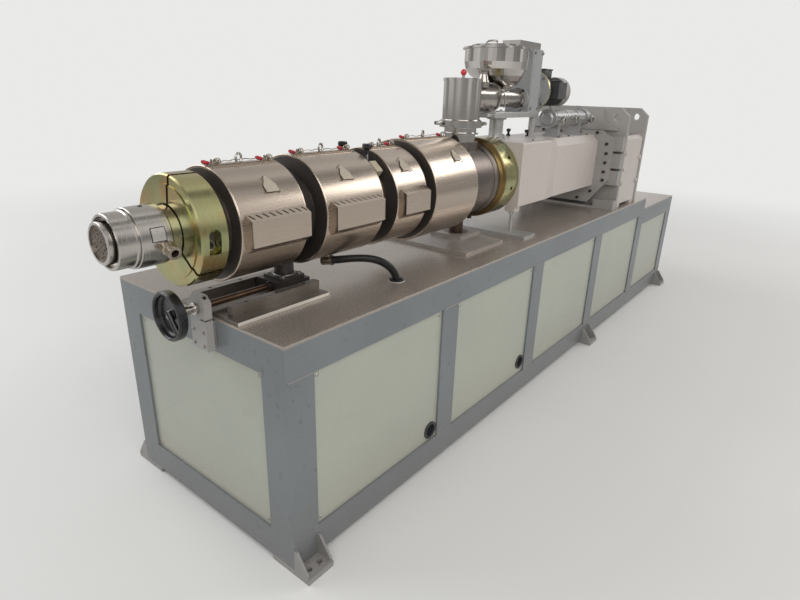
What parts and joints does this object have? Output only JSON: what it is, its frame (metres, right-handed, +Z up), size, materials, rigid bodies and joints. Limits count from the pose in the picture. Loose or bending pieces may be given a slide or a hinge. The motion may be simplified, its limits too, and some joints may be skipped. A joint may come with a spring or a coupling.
{
  "type": "plastic extruder",
  "caption": "Conical twin-screw plastic extruder on a panelled base frame, with clamped die adapter, heater covers, connection housing, gearbox and screw feeder.",
  "frame": {"origin": "on the floor at the centre of the outer foot-bolt pattern, in the middle of the base frame", "axes": "+X along the machine from the die end to the gearbox end, -Y the operator's side, +Z up"},
  "size_m": [4.012, 0.956, 1.584],
  "materials": {
    "frame_paint": "satin",
    "panel_paint": "satin",
    "deck_steel": "satin",
    "foot_steel": "satin",
    "rubber": "matt",
    "hose": "matt",
    "bed_steel": "satin",
    "black_steel": "satin",
    "screw_steel": "satin",
    "black_plastic": "satin",
    "barrel_steel": "satin",
    "turned_steel": "satin",
    "zinc": "satin",
    "stainless": "brushed",
    "mirror_stainless": "polished",
    "housing_paint": "satin",
    "shaft_steel": "satin",
    "cooler_metal": "satin",
    "feeder_paint": "satin",
    "motor_paint": "satin"
  },
  "bodies": {
    "machine": {"feet": "foot_steel", "bottom_rails": "frame_paint", "top_rails": "frame_paint", "tail_rails": "frame_paint", "cross_rails": "frame_paint", "posts": "frame_paint", "operator_panels": "panel_paint", "plain_panels": "panel_paint", "deck_plates": "deck_steel", "grommets": "rubber", "ribbed_hose": "hose", "slide_bed": "bed_steel", "carriage": "black_steel", "front_support": "black_steel", "screw_bracket": "frame_paint", "rear_support": "black_steel", "barrel": "barrel_steel", "breaker_plate": "turned_steel", "die_adapter": "turned_steel", "pressure_port": "turned_steel", "clamp_segments": "zinc", "heater_1": "stainless", "heater_2": "stainless", "heater_3": "stainless", "heater_4": "stainless", "lock_collar": "zinc", "connection_housing": "housing_paint", "levelling_feet": "shaft_steel", "gearbox_neck": "housing_paint", "gear_case": "housing_paint", "gearbox_walls": "housing_paint", "input_shaft": "shaft_steel", "oil_cooler": "cooler_metal", "feed_throat": "stainless", "throat_clamp": "mirror_stainless", "feed_cylinder": "mirror_stainless", "cylinder_lid": "mirror_stainless", "feeder_stand": "feeder_paint", "metering_barrel": "stainless", "hopper": "mirror_stainless", "hopper_lid": "mirror_stainless", "feeder_case": "feeder_paint", "feeder_motor": "motor_paint"},
    "handwheel": {"lead_screw": "screw_steel", "handwheel": "black_plastic"}
  },
  "joints": [
    {"name": "handwheel_turn", "type": "hinge", "parent": "machine", "child": "handwheel", "pos_m": [-1.977, -0.091, 0.775], "axis": [1, 0, 0], "continuous": true}
  ]
}
